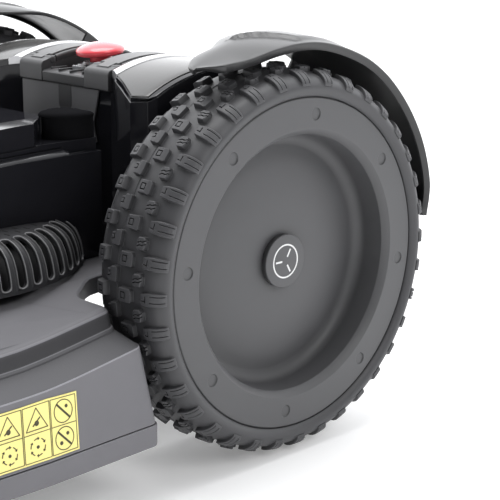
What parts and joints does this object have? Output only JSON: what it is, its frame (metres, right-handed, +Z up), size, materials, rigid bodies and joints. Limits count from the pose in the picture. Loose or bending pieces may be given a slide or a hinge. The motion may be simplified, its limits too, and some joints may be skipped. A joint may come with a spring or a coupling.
{
  "type": "robotic lawn mower",
  "caption": "Robotic lawn mower with large treaded rear drive wheels under fenders, a vented deck, gloss hood and tower, red stop button, swivel casters and a height-adjustable star blade.",
  "frame": {"origin": "on the ground under the centre of the bounding box", "axes": "+Z up, -Y towards the front, +X to the mower's left side"},
  "size_m": [0.464, 0.6342, 0.3123],
  "materials": {
    "deck_grey": "fine moulded grain",
    "fender_grey": "fine moulded grain",
    "plate_grey": "fine moulded grain",
    "wheel_grey": "satin moulding",
    "module_dark": "fine moulded grain",
    "gloss_black": "piano black",
    "stop_red": "polished",
    "clear_ring": "clear moulding",
    "tyre_rubber": "matt moulded rubber",
    "steel": "turned and ground",
    "frame_aluminium": "mill sheet",
    "motor_aluminium": "die cast"
  },
  "bodies": {
    "chassis": {"deck_cover": "deck_grey", "bumper_strip": "deck_grey", "front_hood": "gloss_black", "tower_shell": "gloss_black", "top_module": "module_dark", "stop_collar": "clear_ring", "stop_switch": "module_dark", "blade_guard": "module_dark", "chassis_frame": "frame_aluminium", "height_motor": "motor_aluminium", "battery_pack": "module_dark", "control_box": "module_dark", "caster_cap_left": "deck_grey", "vent_cover_left": "deck_grey", "shoulder_cover_left": "gloss_black", "rail_plate_left": "plate_grey", "fender_left": "fender_grey", "shaft_bearing_left": "steel", "gear_motor_left": "motor_aluminium", "caster_bush_left": "steel", "charge_contact_left": "steel", "caster_cap_right": "deck_grey", "vent_cover_right": "deck_grey", "shoulder_cover_right": "gloss_black", "rail_plate_right": "plate_grey", "fender_right": "fender_grey", "shaft_bearing_right": "steel", "gear_motor_right": "motor_aluminium", "caster_bush_right": "steel", "charge_contact_right": "steel"},
    "stop_button": {"stop_button": "stop_red"},
    "carriage": {"cutter_carriage": "module_dark", "blade_motor": "motor_aluminium"},
    "lift_screw": {"height_screw": "steel"},
    "blade": {"blade_shaft": "steel", "blade_disc": "steel", "blade_bolt": "module_dark"},
    "left_wheel": {"rear_tyre_left": "tyre_rubber", "wheel_disc_left": "wheel_grey", "hub_cap_left": "wheel_grey", "drive_shaft_left": "steel"},
    "left_caster": {"caster_fork_left": "module_dark", "caster_axle_left": "steel"},
    "left_caster_wheel": {"caster_hub_left": "module_dark", "caster_tyre_left": "tyre_rubber"},
    "right_wheel": {"rear_tyre_right": "tyre_rubber", "wheel_disc_right": "wheel_grey", "hub_cap_right": "wheel_grey", "drive_shaft_right": "steel"},
    "right_caster": {"caster_fork_right": "module_dark", "caster_axle_right": "steel"},
    "right_caster_wheel": {"caster_hub_right": "module_dark", "caster_tyre_right": "tyre_rubber"}
  },
  "joints": [
    {"name": "left_wheel_spin", "type": "hinge", "parent": "chassis", "child": "left_wheel", "pos_m": [0.187, 0.15, 0.145], "axis": [1, 0, 0], "continuous": true},
    {"name": "left_caster_swivel", "type": "hinge", "parent": "chassis", "child": "left_caster", "pos_m": [0.15, -0.232, 0.105], "axis": [0, 0, 1], "continuous": true},
    {"name": "left_caster_spin", "type": "hinge", "parent": "left_caster", "child": "left_caster_wheel", "pos_m": [0.15, -0.207, 0.0475], "axis": [1, 0, 0], "continuous": true},
    {"name": "right_wheel_spin", "type": "hinge", "parent": "chassis", "child": "right_wheel", "pos_m": [-0.187, 0.15, 0.145], "axis": [1, 0, 0], "continuous": true},
    {"name": "right_caster_swivel", "type": "hinge", "parent": "chassis", "child": "right_caster", "pos_m": [-0.15, -0.232, 0.105], "axis": [0, 0, 1], "continuous": true},
    {"name": "right_caster_spin", "type": "hinge", "parent": "right_caster", "child": "right_caster_wheel", "pos_m": [-0.15, -0.207, 0.0475], "axis": [1, 0, 0], "continuous": true},
    {"name": "cutting_height", "type": "slide", "parent": "chassis", "child": "carriage", "axis": [0, 0, 1], "range_m": [0, 0.04]},
    {"name": "lift_screw_turn", "type": "hinge", "parent": "chassis", "child": "lift_screw", "pos_m": [0, -0.107, 0.145], "axis": [0, 0, 1], "range_deg": [0, 1440]},
    {"name": "blade_spin", "type": "hinge", "parent": "carriage", "child": "blade", "pos_m": [0, -0.045, 0.0365], "axis": [0, 0, 1], "continuous": true},
    {"name": "stop_press", "type": "slide", "parent": "chassis", "child": "stop_button", "axis": [0, 0, -1], "range_m": [0, 0.004], "stiffness_N_per_m": 1500, "springref_m": -0.003}
  ],
  "couplings": [
    {"joint": "lift_screw_turn", "follows": "cutting_height", "rad_per_m": 628.32}
  ]
}
